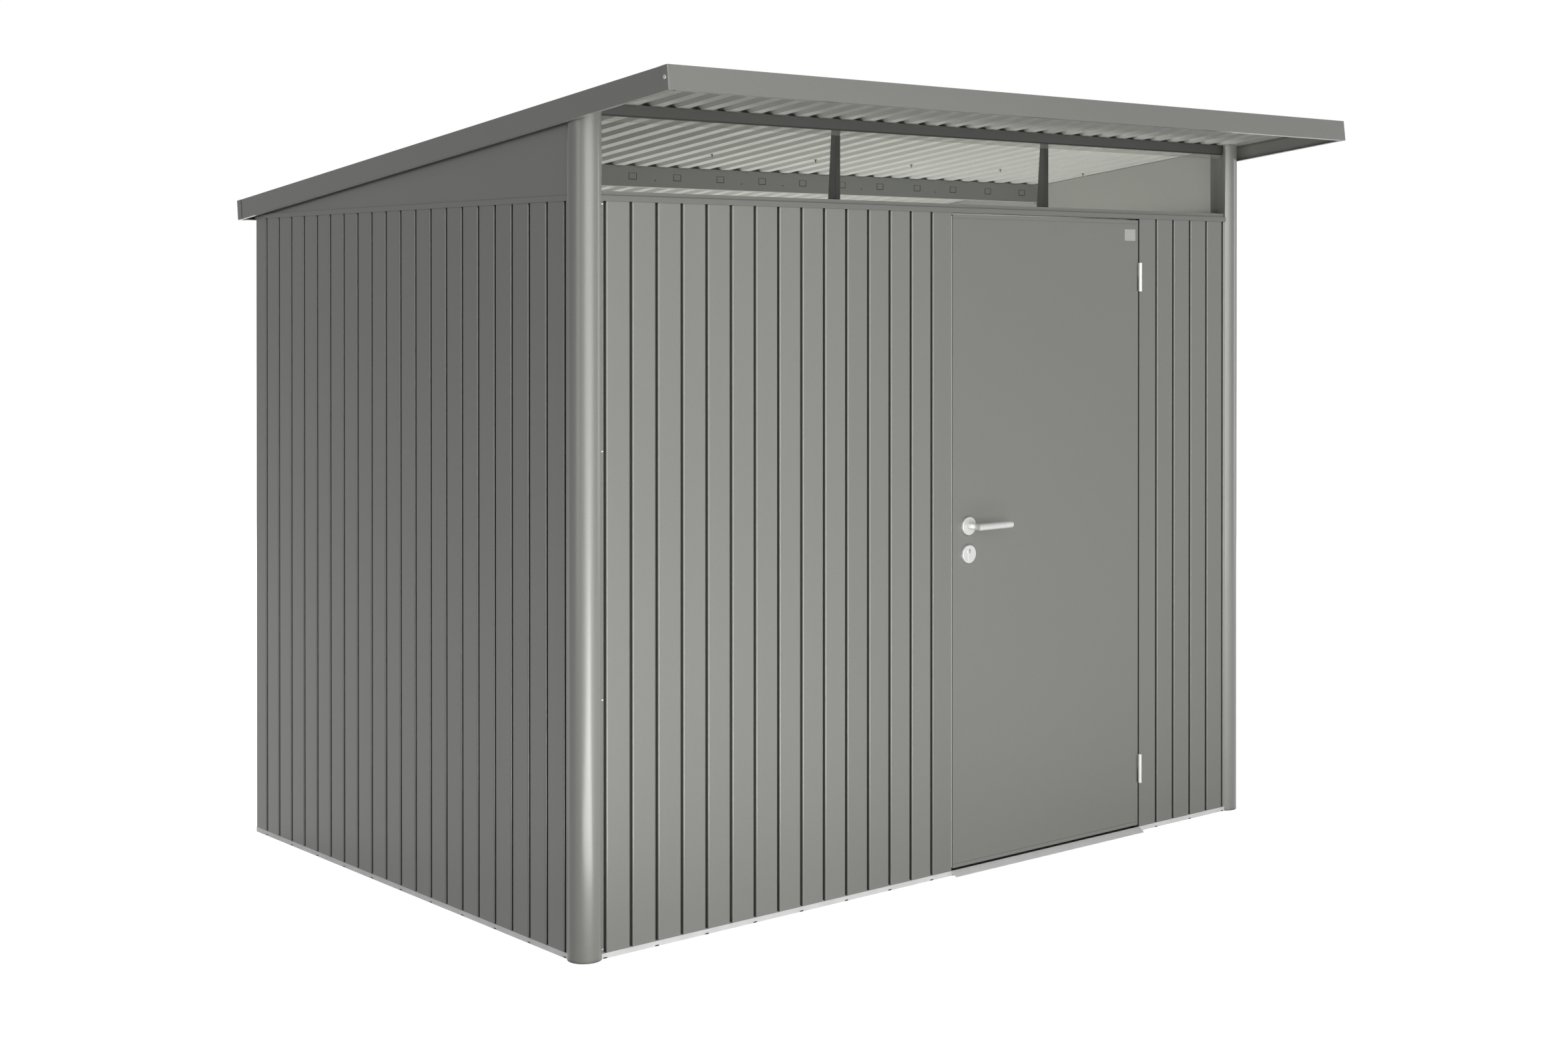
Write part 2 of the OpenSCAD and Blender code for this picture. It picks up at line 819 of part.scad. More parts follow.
front_left_base_rail();
front_right_base_rail();
left_base_rail();
right_base_rail();
back_base_rail();
door_sill();
front_left_post();
front_right_post();
rear_left_corner();
rear_right_corner();
front_wide_panel();
front_narrow_panel();
front_right_panel();
left_front_panel();
left_rear_panel();
right_front_panel();
right_rear_panel();
back_left_panel();
back_middle_panel();
back_right_panel();
latch_jamb();
hinge_jamb();
front_header_rail();
left_top_rail();
right_top_rail();
back_top_rail();
left_gable();
right_gable();
front_glazing();
glazing_brackets();
front_roof_beam();
roof_purlin();
left_roof_sheet();
middle_roof_sheet();
right_roof_sheet();
front_fascia();
left_verge_trim();
right_verge_trim();
rear_eave_trim();
hinge_pins();
door_leaf();
hinge_sleeves();
lock_case();
rosettes();
lever_handle();
inner_lever();
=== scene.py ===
import json
import math

import bmesh
import bpy
from mathutils import Matrix, Vector


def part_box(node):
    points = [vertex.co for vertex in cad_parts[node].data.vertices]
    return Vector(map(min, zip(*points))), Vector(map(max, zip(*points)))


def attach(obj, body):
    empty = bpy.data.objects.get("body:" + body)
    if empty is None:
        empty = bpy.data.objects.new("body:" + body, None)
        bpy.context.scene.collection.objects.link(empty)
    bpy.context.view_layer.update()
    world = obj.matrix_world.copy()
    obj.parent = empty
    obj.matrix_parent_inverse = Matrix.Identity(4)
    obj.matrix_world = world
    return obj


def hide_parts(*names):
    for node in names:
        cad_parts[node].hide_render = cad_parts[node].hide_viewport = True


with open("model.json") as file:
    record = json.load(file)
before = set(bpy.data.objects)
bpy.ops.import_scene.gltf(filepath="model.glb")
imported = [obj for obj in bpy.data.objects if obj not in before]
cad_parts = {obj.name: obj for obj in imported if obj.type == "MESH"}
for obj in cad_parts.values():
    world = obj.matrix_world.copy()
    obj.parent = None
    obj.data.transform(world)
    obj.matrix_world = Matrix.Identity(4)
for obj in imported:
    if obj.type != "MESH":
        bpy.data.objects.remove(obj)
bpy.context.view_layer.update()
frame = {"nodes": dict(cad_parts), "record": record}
mm = 0.001
weld = 0.01 * mm   # vertices closer than this count as one


def linearColor(hexValue):
    parts = [int(hexValue[i:i + 2], 16) / 255 for i in (1, 3, 5)]
    return [c / 12.92 if c <= 0.04045 else ((c + 0.055) / 1.055) ** 2.4 for c in parts] + [1.0]


# adds one node, sets its properties, and fills or links its inputs
def addNode(tree, kind, inputs, **settings):
    node = tree.nodes.new(kind)
    for name, value in settings.items():
        setattr(node, name, value)
    for key, value in inputs.items():
        if isinstance(value, bpy.types.NodeSocket):
            tree.links.new(value, node.inputs[key])
        else:
            node.inputs[key].default_value = value
    return node


def newMaterial(name):
    material = bpy.data.materials.new(name)
    material.use_nodes = True
    tree = material.node_tree
    tree.nodes.clear()
    place = addNode(tree, "ShaderNodeTexCoord", {}).outputs["Object"]
    return material, tree, place


def closeMaterial(tree, shader):
    addNode(tree, "ShaderNodeOutputMaterial", {"Surface": shader.outputs[0]})


# colour that wanders between two tones over a pattern; 6, 7 and output 2 are the mix node's colours
def twoTone(tree, pattern, dark, light):
    share = addNode(tree, "ShaderNodeMapRange", {"Value": pattern, "From Min": 0.35, "From Max": 0.65})
    tones = {0: share.outputs["Result"], 6: linearColor(dark), 7: linearColor(light)}
    return addNode(tree, "ShaderNodeMix", tones, data_type="RGBA").outputs[2]


# stove enamel on galvanised sheet: a fine sparkle grain over a very even satin tone,
# with painted shade in the grooves and other hollows, found by ambient occlusion, that darkens them and takes
# their gloss
def paintedSheet(name, dark, light, rough, coat):
    material, tree, place = newMaterial(name)
    grainMm = 2.2   # real flake is under 0.1 mm, drawn coarser so that it shows
    driftMm = 900   # slow drift of tone across a wall
    shadeReachMm = 14   # reach of the painted shade, a little more than a groove is deep
    grain = addNode(tree, "ShaderNodeTexNoise", {
        "Vector": place, "Scale": 1 / (grainMm * mm), "Detail": 2.0, "Roughness": 0.6}).outputs["Fac"]
    drift = addNode(tree, "ShaderNodeTexNoise", {
        "Vector": place, "Scale": 1 / (driftMm * mm), "Detail": 1.0, "Roughness": 0.4}).outputs["Fac"]
    both = addNode(tree, "ShaderNodeMix", {"Factor": 0.25, "A": grain, "B": drift},
                   data_type="FLOAT").outputs["Result"]
    bump = addNode(tree, "ShaderNodeBump", {"Height": grain, "Strength": 0.04, "Distance": 0.1 * mm})
    openness = addNode(tree, "ShaderNodeAmbientOcclusion", {"Distance": shadeReachMm * mm}, samples=6)
    unshaded = addNode(tree, "ShaderNodeMapRange", {
        "Value": openness.outputs["AO"], "From Min": 0.4, "From Max": 0.75, "To Min": 0.15,
        "To Max": 1.0}).outputs["Result"]
    shadedTones = {0: unshaded, 6: linearColor("#2c2d2b"), 7: twoTone(tree, both, dark, light)}
    tone = addNode(tree, "ShaderNodeMix", shadedTones, data_type="RGBA").outputs[2]
    satin = addNode(tree, "ShaderNodeMapRange", {
        "Value": both, "To Min": rough - 0.03, "To Max": rough + 0.03})
    gloss = addNode(tree, "ShaderNodeMapRange", {"Value": unshaded, "To Min": 0.0, "To Max": coat})
    shader = addNode(tree, "ShaderNodeBsdfPrincipled", {
        "Base Color": tone, "Roughness": satin.outputs["Result"], "Metallic": 0.15, "IOR": 1.5,
        "Coat Weight": gloss.outputs["Result"], "Coat Roughness": 0.2, "Normal": bump.outputs["Normal"]})
    closeMaterial(tree, shader)
    return material


# extruded aluminium without paint: bright, with faint draw lines along the length
def bareAluminium(name, dark, light, metallic):
    material, tree, place = newMaterial(name)
    lineMm = 1.5
    smearMm = 60
    drawn = (0.02, 0.02, 1.0)   # lines are stretched along the rails
    stretched = addNode(tree, "ShaderNodeMapping", {"Vector": place, "Scale": drawn}).outputs["Vector"]
    lines = addNode(tree, "ShaderNodeTexNoise", {
        "Vector": stretched, "Scale": 1 / (lineMm * mm), "Detail": 3.0}).outputs["Fac"]
    smear = addNode(tree, "ShaderNodeTexNoise", {
        "Vector": place, "Scale": 1 / (smearMm * mm), "Detail": 4.0}).outputs["Fac"]
    bump = addNode(tree, "ShaderNodeBump", {"Height": lines, "Strength": 0.06, "Distance": 0.2 * mm})
    dull = addNode(tree, "ShaderNodeMapRange", {"Value": lines, "To Min": 0.34, "To Max": 0.5})
    shader = addNode(tree, "ShaderNodeBsdfPrincipled", {
        "Base Color": twoTone(tree, smear, dark, light), "Roughness": dull.outputs["Result"],
        "Metallic": metallic, "Normal": bump.outputs["Normal"]})
    closeMaterial(tree, shader)
    return material


# plain bright metal with a fine brushed grain along X
def satinMetal(name, dark, light, rough, metallic=1.0):
    material, tree, place = newMaterial(name)
    brushMm = 0.8
    brushed = (0.05, 1.0, 1.0)
    stretched = addNode(tree, "ShaderNodeMapping", {"Vector": place, "Scale": brushed}).outputs["Vector"]
    brush = addNode(tree, "ShaderNodeTexNoise", {
        "Vector": stretched, "Scale": 1 / (brushMm * mm), "Detail": 2.0}).outputs["Fac"]
    bump = addNode(tree, "ShaderNodeBump", {"Height": brush, "Strength": 0.05, "Distance": 0.1 * mm})
    dull = addNode(tree, "ShaderNodeMapRange", {
        "Value": brush, "To Min": rough - 0.05, "To Max": rough + 0.06})
    shader = addNode(tree, "ShaderNodeBsdfPrincipled", {
        "Base Color": twoTone(tree, brush, dark, light), "Roughness": dull.outputs["Result"],
        "Metallic": metallic, "Normal": bump.outputs["Normal"]})
    closeMaterial(tree, shader)
    return material


# clear acrylic sheet: light goes straight through, with a fiftieth of it mirrored and a trace of dust
def clearAcrylic(name, haze):
    material, tree, place = newMaterial(name)
    dustMm = 90
    trace = 0.02
    mirrored = 0.02
    dust = addNode(tree, "ShaderNodeTexNoise", {
        "Vector": place, "Scale": 1 / (dustMm * mm), "Detail": 5.0}).outputs["Fac"]
    veil = addNode(tree, "ShaderNodeMapRange", {"Value": dust, "To Min": haze, "To Max": haze + trace})
    through = addNode(tree, "ShaderNodeBsdfTransparent", {"Color": linearColor("#f6f6f5")})
    film = addNode(tree, "ShaderNodeBsdfDiffuse", {"Color": linearColor("#c8c9c2")})
    hazed = addNode(tree, "ShaderNodeMixShader", {
        0: veil.outputs["Result"], 1: through.outputs[0], 2: film.outputs[0]})
    mirror = addNode(tree, "ShaderNodeBsdfAnisotropic", {"Color": (1, 1, 1, 1), "Roughness": 0.03})
    shader = addNode(tree, "ShaderNodeMixShader", {0: mirrored, 1: hazed.outputs[0], 2: mirror.outputs[0]})
    closeMaterial(tree, shader)
    return material


# matt finish, faintly mottled: seals, a painted highlight strip, and painted shade for the unlit inside of
# slots
def mattFinish(name, dark, light):
    material, tree, place = newMaterial(name)
    mottleMm = 4
    mottle = addNode(tree, "ShaderNodeTexNoise", {
        "Vector": place, "Scale": 1 / (mottleMm * mm), "Detail": 3.0}).outputs["Fac"]
    bump = addNode(tree, "ShaderNodeBump", {"Height": mottle, "Strength": 0.1, "Distance": 0.2 * mm})
    dull = addNode(tree, "ShaderNodeMapRange", {"Value": mottle, "To Min": 0.6, "To Max": 0.8})
    shader = addNode(tree, "ShaderNodeBsdfPrincipled", {
        "Base Color": twoTone(tree, mottle, dark, light), "Roughness": dull.outputs["Result"],
        "IOR": 1.5, "Normal": bump.outputs["Normal"]})
    closeMaterial(tree, shader)
    return material


# metallic grey enamel: glossiest on the walls; shaded copies of it, a little darker and duller, are painted
# shade on the narrow sheet, round the door and on the header
greyPaint = paintedSheet("metallic grey stove enamel", "#8e8f89", "#949590", 0.4, 1.0)
narrowShadedPaint = paintedSheet("metallic grey stove enamel on narrow sheet", "#8b8c86", "#91928d", 0.41, 0.7)
doorShadedPaint = paintedSheet("metallic grey stove enamel with painted shade round door", "#888983", "#8e8f8a", 0.42, 0.4)
headerShadedPaint = paintedSheet("metallic grey stove enamel with painted shade on header", "#7e7f7a", "#848580", 0.42, 0.5)
backCoatAndPaintedLight = paintedSheet("grey back coat and painted light", "#a0a19c", "#a8a9a4", 0.55, 0.0)           # lighter and flat
darkPaint = paintedSheet("dark grey stove enamel", "#4a4b47", "#52534f", 0.5, 0.2)
innerPaint = paintedSheet("grey primer on purlin", "#868784", "#8e8f8c", 0.5, 0.1)
aluminium = bareAluminium("mill finish aluminium", "#e2e3e2", "#ecedec", 0.5)
sillMetal = bareAluminium("pale anodised aluminium", "#f6f6f5", "#fcfcfb", 0.1)       # almost white
stainless = satinMetal("satin stainless steel", "#f0f0ee", "#f8f8f6", 0.3, 0.6)
zinc = satinMetal("bright zinc plate", "#c2c2be", "#d6d6d2", 0.3)
darkZinc = satinMetal("dull zinc plate", "#5a5b58", "#6a6b68", 0.5)
plateMetal = satinMetal("anodised aluminium plate", "#a8a9a5", "#b3b4b0", 0.5)
acrylic = clearAcrylic("clear acrylic sheet", 0.0)
edgeTape = clearAcrylic("clear glazing tape", 0.16)                                   # a milky edge
# painted highlight: a light strip standing for the lit edge of the door leaf
highlightGrey = mattFinish("light grey painted highlight", "#c4c5c0", "#ccccc8")
# black rubber for the glazing seal; the same black is painted shade in the door's gaps
rubberAndShade = mattFinish("black rubber seal and painted shade", "#242523", "#333432")
# painted shade: the dark inside of slots, holes, notches and the keyway
shadowGap = mattFinish("painted shade in a slot", "#232422", "#30312f")

slotFinish = {
    "painted_steel": greyPaint, "dark_painted_steel": darkPaint, "mill_aluminium": aluminium,
    "satin_steel": stainless, "clear_acrylic": acrylic}
ownFinish = {
    "roof_purlin": innerPaint, "front_header_rail": headerShadedPaint, "door_sill": sillMetal,
    "left_roof_sheet": backCoatAndPaintedLight, "middle_roof_sheet": backCoatAndPaintedLight, "right_roof_sheet": backCoatAndPaintedLight,
    "door_leaf": doorShadedPaint, "latch_jamb": doorShadedPaint, "hinge_jamb": doorShadedPaint, "front_right_panel": doorShadedPaint,
    "front_narrow_panel": narrowShadedPaint}
for part in frame["record"]["subparts"]:
    node = part["node"]
    mesh = frame["nodes"][node].data
    mesh.materials.clear()
    mesh.materials.append(ownFinish.get(node, slotFinish[part["material_slot"]]))

# the gables' inner faces show the back coat
facing = 0.9   # least share of a face's normal that points inward
for node, inward in (("left_gable", 1), ("right_gable", -1)):
    mesh = frame["nodes"][node].data
    mesh.materials.append(backCoatAndPaintedLight)
    for face in mesh.polygons:
        face.material_index = 1 if face.normal.x * inward > facing else 0
print("finishes set")


# a finished mesh becomes a piece on a body
def addPiece(name, bm, material, body, smooth=False):
    mesh = bpy.data.meshes.new(name)
    bm.to_mesh(mesh)
    bm.free()
    for face in mesh.polygons:
        face.use_smooth = smooth
    mesh.materials.append(material)
    obj = bpy.data.objects.new(name, mesh)
    bpy.context.collection.objects.link(obj)
    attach(obj, body)
    return obj


# folded sheets with their bends shaded round: a merged copy, whose large flats keep their own normals
foldedNodes = (
    "front_wide_panel", "front_narrow_panel", "front_right_panel", "left_front_panel", "left_rear_panel",
    "right_front_panel", "right_rear_panel", "back_left_panel", "back_middle_panel", "back_right_panel",
    "front_left_post", "front_right_post", "rear_left_corner", "rear_right_corner",
    "latch_jamb", "hinge_jamb")
bendAngle = math.radians(42)   # a sharper edge than this stays an edge
for node in foldedNodes:
    solid = frame["nodes"][node].data
    bm = bmesh.new()
    bm.from_mesh(solid)
    bmesh.ops.remove_doubles(bm, verts=bm.verts, dist=weld)
    sheet = addPiece(node + "_folded", bm, solid.materials[0], "shed", True)
    sheet.data.set_sharp_from_angle(angle=bendAngle)
    flats = sheet.modifiers.new("flats", "WEIGHTED_NORMAL")
    flats.keep_sharp = True
    flats.weight = 100
    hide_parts(node)

# the front posts are tubes whose open heads show the lighter back coat, painted light on their shaded bores
postTube = {"across": 1.2403, "front": -0.679, "boreRadius": 42.4 * mm}
for node, side in (("front_left_post", -1), ("front_right_post", 1)):
    axis = (side * postTube["across"], postTube["front"])
    mesh = bpy.data.objects[node + "_folded"].data
    mesh.materials.append(backCoatAndPaintedLight)
    for face in mesh.polygons:
        if math.dist(face.center[:2], axis) < postTube["boreRadius"]:
            face.material_index = 1
print("folded sheets shaded")

wallCorner = {"x": -1.274, "y": -0.7102}   # where the left and the front wall meet


# millimetres from the left wall, the front wall and the ground, as metres in the frame
def wall(x, y, z):
    return Vector((x * mm + wallCorner["x"], y * mm + wallCorner["y"], z * mm))


# millimetres behind the front wall of a place in the frame
def behindWall(y):
    return (y - wallCorner["y"]) / mm


# block between two values in each direction, in millimetres as for wall
def addBlock(bm, x, y, z):
    low, high = wall(x[0], y[0], z[0]), wall(x[1], y[1], z[1])
    shape = Matrix.Translation((low + high) / 2) @ Matrix.Diagonal((*(high - low), 1))
    bmesh.ops.create_cube(bm, size=1.0, matrix=shape)


def aimed(place, outward):
    return Matrix.Translation(place) @ Vector(outward).to_track_quat("Z", "Y").to_matrix().to_4x4()


# domes and rods take their sizes in millimetres
def addDome(bm, place, outward, radius, rise):
    shape = aimed(place, outward) @ Matrix.Diagonal((radius * mm, radius * mm, rise * mm, 1))
    bmesh.ops.create_uvsphere(bm, u_segments=20, v_segments=10, radius=1.0, matrix=shape)


def addRod(bm, place, outward, radius, length, tipRadius=None):
    tip = radius if tipRadius is None else tipRadius
    shape = aimed(place, outward) @ Matrix.Translation((0, 0, length * mm / 2))
    bmesh.ops.create_cone(bm, cap_ends=True, segments=24, radius1=radius * mm, radius2=tip * mm,
                          depth=length * mm, matrix=shape)


forward = (0, -1, 0)

# screws that hold the left post's flange, beside the first groove
postScrews = {"x": 65.5, "z": (25, 643, 1258, 1870), "radius": 3.2, "rise": 2.4}
bm = bmesh.new()
for z in postScrews["z"]:
    addDome(bm, wall(postScrews["x"], 0, z), forward, postScrews["radius"], postScrews["rise"])
addPiece("postScrews", bm, zinc, "shed", True)

# rivets down the two seams of the front wall, at the bottom of a groove
seamRivets = {"x": (874, 1194), "y": 10, "z": (25, 640, 1256), "radius": 2.9, "rise": 1.8}
bm = bmesh.new()
for x in seamRivets["x"]:
    for z in seamRivets["z"]:
        addDome(bm, wall(x, seamRivets["y"], z), forward, seamRivets["radius"], seamRivets["rise"])
addPiece("seamRivets", bm, zinc, "shed", True)

# one screw through each end of the fascia
fasciaScrews = {"inFromFront": 16.5, "fromTop": 29, "radius": 5.8, "rise": 2.0}
fasciaLow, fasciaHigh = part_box("front_fascia")
y = fasciaLow[1] + fasciaScrews["inFromFront"] * mm
z = fasciaHigh[2] - fasciaScrews["fromTop"] * mm
bm = bmesh.new()
for x, side in ((fasciaLow[0], -1), (fasciaHigh[0], 1)):
    addDome(bm, Vector((x, y, z)), (side, 0, 0), fasciaScrews["radius"], fasciaScrews["rise"])
addPiece("fasciaScrews", bm, zinc, "shed", True)

# square tabs half punched out of the purlin's face, held along the dotted top edge; their slots are strips of
# painted shade
purlinTabs = {"first": 110.3, "pitch": 166.5, "count": 15, "y": (848.7, 849), "z": (1988, 2008.5),
              "wide": 29.4, "slot": 2.0, "dashHalf": 2, "dashSpread": 0.55}
half, cut = purlinTabs["wide"] / 2, purlinTabs["slot"]
foot, top = purlinTabs["z"]
spread, dashHalf = half * purlinTabs["dashSpread"], purlinTabs["dashHalf"]
bm = bmesh.new()
for k in range(purlinTabs["count"]):
    x = purlinTabs["first"] + k * purlinTabs["pitch"]
    addBlock(bm, (x - half, x + half), purlinTabs["y"], (foot, foot + cut))
    for left in (x - half, x + half - cut):
        addBlock(bm, (left, left + cut), purlinTabs["y"], (foot, top))
    for middle in (x - spread, x, x + spread):
        addBlock(bm, (middle - dashHalf, middle + dashHalf), purlinTabs["y"], (top - cut, top))
addPiece("purlinTabSlots", bm, shadowGap, "shed")

# small holes between the tabs, drawn as discs of painted shade
purlinHoles = {"x": (859.5, 1193.5, 1360.4, 1693.3, 2024.6), "y": 849, "z": 1987.6, "radius": 2.0,
               "proud": 0.3}
bm = bmesh.new()
for x in purlinHoles["x"]:
    place = wall(x, purlinHoles["y"], purlinHoles["z"])
    addRod(bm, place, forward, purlinHoles["radius"], purlinHoles["proud"])
addPiece("purlinHoles", bm, shadowGap, "shed")

# screws through the roof sheets: washer and tapered tip under the ceiling, washer and head on top
roofScrews = {"x": (886, 1286, 1686, 2086, 2486), "y": 606, "z": 2055.2, "slope": 6.32, "sheet": 0.8,
              "washer": 4.2, "washerThick": 1.5, "stem": 1.9, "tip": 1.14, "drop": 9.5,
              "cap": 9.1, "capThick": 1.0, "head": 6.5, "rise": 4.0}
slope = math.radians(roofScrews["slope"])
upward = Vector((0, math.sin(slope), math.cos(slope)))
bm = bmesh.new()
for x in roofScrews["x"]:
    under = wall(x, roofScrews["y"], roofScrews["z"])
    over = under + upward * roofScrews["sheet"] * mm
    addRod(bm, under, -upward, roofScrews["washer"], roofScrews["washerThick"])
    addRod(bm, under, -upward, roofScrews["stem"], roofScrews["drop"], roofScrews["tip"])
    addRod(bm, over, upward, roofScrews["cap"], roofScrews["capThick"])
    addDome(bm, over + upward * roofScrews["capThick"] * mm, upward, roofScrews["head"], roofScrews["rise"])
addPiece("roofScrews", bm, darkZinc, "shed", True)

# rubber seal along the top of the glazing
topSeal = {"x": (56, 2492), "y": (17.5, 20), "z": (2089.5, 2094)}
bm = bmesh.new()
addBlock(bm, topSeal["x"], topSeal["y"], topSeal["z"])
addPiece("topSeal", bm, rubberAndShade, "shed")

# clear tape below that seal
glazingTape = {"wide": 13, "thick": 0.4}
back, top = topSeal["y"][1], topSeal["z"][0]
bm = bmesh.new()
addBlock(bm, topSeal["x"], (back - glazingTape["thick"], back), (top - glazingTape["wide"], top))
addPiece("glazingTape", bm, edgeTape, "shed")

# light strip down the latch side of the doorway, a painted highlight standing for the lit edge of the leaf
latchHighlight = {"x": (1270, 1273), "y": (0.5, 14), "z": (24, 1868)}
bm = bmesh.new()
addBlock(bm, latchHighlight["x"], latchHighlight["y"], latchHighlight["z"])
addPiece("latchHighlight", bm, highlightGrey, "shed")

# thin black strips of painted shade on the doorway's hinge side and head, seen as a dark line round the leaf
doorGapShade = {"x": (1274, 2073), "y": (0.5, 14), "z": (14.2, 1877), "thick": 0.4}
hinge, head = doorGapShade["x"][1], doorGapShade["z"][1]
bm = bmesh.new()
addBlock(bm, (hinge - doorGapShade["thick"], hinge), doorGapShade["y"], doorGapShade["z"])
addBlock(bm, doorGapShade["x"], doorGapShade["y"], (head - doorGapShade["thick"], head))
addPiece("doorGapShade", bm, rubberAndShade, "shed")

# black strip of painted shade behind the foot of the leaf, in line with the jambs' stops; on the hinge side
# it passes low under the jamb, turns forward along the rail's end, and has a pad on the jamb's stop
footShade = {"x": (1288, 2055), "y": (33.5, 36), "z": (2, 22), "end": (2070.5, 2072.8), "endFront": 2.2,
            "endTop": 13.8, "pad": (2055, 2073), "padY": (32.6, 33), "padZ": (14.2, 30)}
low = (footShade["z"][0], footShade["endTop"])
bm = bmesh.new()
addBlock(bm, (footShade["x"][1], footShade["end"][0]), footShade["y"], low)
addBlock(bm, footShade["end"], (footShade["endFront"], footShade["y"][1]), low)
addBlock(bm, footShade["pad"], footShade["padY"], footShade["padZ"])
addBlock(bm, footShade["x"], footShade["y"], footShade["z"])
addPiece("footShade", bm, rubberAndShade, "shed")

# painted shade inside the drain notches along the front rail, left and right of the door, and along the side
# rails
drains = {"front": (*range(74, 1200, 160), *range(2154, 2500, 160)), "side": range(69, 1700, 160),
          "half": 5.8, "deep": (0.8, 1.2), "z": (0.3, 3.9), "right": 2548}
near, far = drains["deep"]
bm = bmesh.new()
for x in drains["front"]:
    addBlock(bm, (x - drains["half"], x + drains["half"]), drains["deep"], drains["z"])
for y in drains["side"]:
    for x in ((near, far), (drains["right"] - far, drains["right"] - near)):
        addBlock(bm, x, (y - drains["half"], y + drains["half"]), drains["z"])
addPiece("drainShade", bm, shadowGap, "shed")
print("frame fixings made")

# bare plate on the door, with rounded corners
doorPlate = {"x": (2004.5, 2054), "z": (1809, 1844), "thick": 0.8, "corner": 1.5}
leafFront = behindWall(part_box("door_leaf")[0][1])
bm = bmesh.new()
addBlock(bm, doorPlate["x"], (leafFront - doorPlate["thick"], leafFront), doorPlate["z"])
corners = [e for e in bm.edges if abs((e.verts[0].co - e.verts[1].co).y) > weld]
bmesh.ops.bevel(bm, geom=corners, offset=doorPlate["corner"] * mm, offset_type="OFFSET", affect="EDGES",
                segments=3, profile=0.5, material=-1)
addPiece("barePlate", bm, plateMetal, "door")

# lock cylinder: round plug, a little prouder than the neck below it
lockFace = {"x": 1335, "z": 915, "plug": 8.5, "plugProud": 0.9, "neck": 10, "neckDown": 25.5,
            "neckProud": 0.6}
roseFront = behindWall(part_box("rosettes")[0][1])
x, z = lockFace["x"], lockFace["z"]
half, neckFront = lockFace["neck"] / 2, roseFront - lockFace["neckProud"]
bm = bmesh.new()
addRod(bm, wall(x, roseFront, z), forward, lockFace["plug"], lockFace["plugProud"])
addBlock(bm, (x - half, x + half), (neckFront, roseFront), (z - lockFace["neckDown"], z))
addPiece("lockCylinder", bm, stainless, "door")

# keyway on the plug's face, a round eye and a slot below it, drawn in painted shade
keyway = {"up": 4, "eye": 2.0, "eyeProud": 0.3, "wide": 2.0, "long": 9.0, "slotProud": 0.2}
keyFront = roseFront - lockFace["plugProud"]
half, top = keyway["wide"] / 2, z + keyway["up"]
bm = bmesh.new()
addRod(bm, wall(x, keyFront, top), forward, keyway["eye"], keyway["eyeProud"])
addBlock(bm, (x - half, x + half), (keyFront - keyway["slotProud"], keyFront), (top - keyway["long"], top))
addPiece("keyway", bm, shadowGap, "door")

# levers bent from round bar with a mitred corner: neck and bar cut on the same plane and welded there
lever = {"x": 1335, "z": 987, "radius": 10, "reach": 128, "neckFoot": 26.8, "tip": 3.0, "over": 15,
         "axisY": {"lever_handle": -50, "inner_lever": 76.8}}


# round bar from start, cut off at the mitre's plane, on one side of which it is kept
def addMitredHalf(bm, start, along, length, cutAt, cutNormal, keepFront):
    half = bmesh.new()
    shape = aimed(start, along) @ Matrix.Translation((0, 0, length * mm / 2))
    radius = lever["radius"] * mm
    bmesh.ops.create_cone(half, cap_ends=True, segments=32, radius1=radius, radius2=radius,
                          depth=length * mm, matrix=shape)
    bmesh.ops.bisect_plane(half, geom=half.verts[:] + half.edges[:] + half.faces[:], plane_co=cutAt,
                           plane_no=cutNormal, clear_inner=keepFront, clear_outer=not keepFront)
    mesh = bpy.data.meshes.new("leverHalf")
    half.to_mesh(mesh)
    half.free()
    bm.from_mesh(mesh)
    bpy.data.meshes.remove(mesh)


for node, axisY in lever["axisY"].items():
    outward = 1 if axisY > lever["neckFoot"] else -1
    corner = wall(lever["x"], axisY, lever["z"])
    foot = wall(lever["x"], lever["neckFoot"], lever["z"])
    barStart = wall(lever["x"] - lever["over"], axisY, lever["z"])
    neckLength = abs(axisY - lever["neckFoot"]) + lever["over"]
    barLength = lever["reach"] + lever["over"]
    cutNormal = Vector((1, outward, 0)).normalized()
    bm = bmesh.new()
    addMitredHalf(bm, foot, (0, outward, 0), neckLength, corner, cutNormal, False)
    addMitredHalf(bm, barStart, (1, 0, 0), barLength, corner, cutNormal, True)
    bmesh.ops.remove_doubles(bm, verts=bm.verts, dist=weld)
    for edge in bm.edges:
        edge.smooth = any(abs((v.co - corner).dot(cutNormal)) > weld for v in edge.verts)
    tipX = wall(lever["x"] + lever["reach"], 0, 0).x
    rim = [e for e in bm.edges if all(abs(v.co.x - tipX) < weld for v in e.verts)]
    bmesh.ops.bevel(bm, geom=rim, offset=lever["tip"] * mm, offset_type="OFFSET", affect="EDGES", segments=5,
                    profile=0.5, material=-1)
    bmesh.ops.recalc_face_normals(bm, faces=bm.faces)
    bar = addPiece(node + "_mitred", bm, stainless, "handle", True)
    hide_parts(node)
print("door fittings made")

# photograph's view
cameraPlace = {"eye": (-4.332, -5.1302, 1.6463), "turn": -40.01, "tilt": 89.724, "lensMm": 50.10,
               "sensorMm": 36, "shiftY": -0.1395}
cameraData = bpy.data.cameras.new("camera")
cameraData.lens = cameraPlace["lensMm"]
cameraData.sensor_width = cameraPlace["sensorMm"]
cameraData.shift_y = cameraPlace["shiftY"]
cameraObject = bpy.data.objects.new("camera", cameraData)
cameraObject.location = cameraPlace["eye"]
cameraObject.rotation_euler = (math.radians(cameraPlace["tilt"]), 0, math.radians(cameraPlace["turn"]))
bpy.context.collection.objects.link(cameraObject)
bpy.context.scene.camera = cameraObject

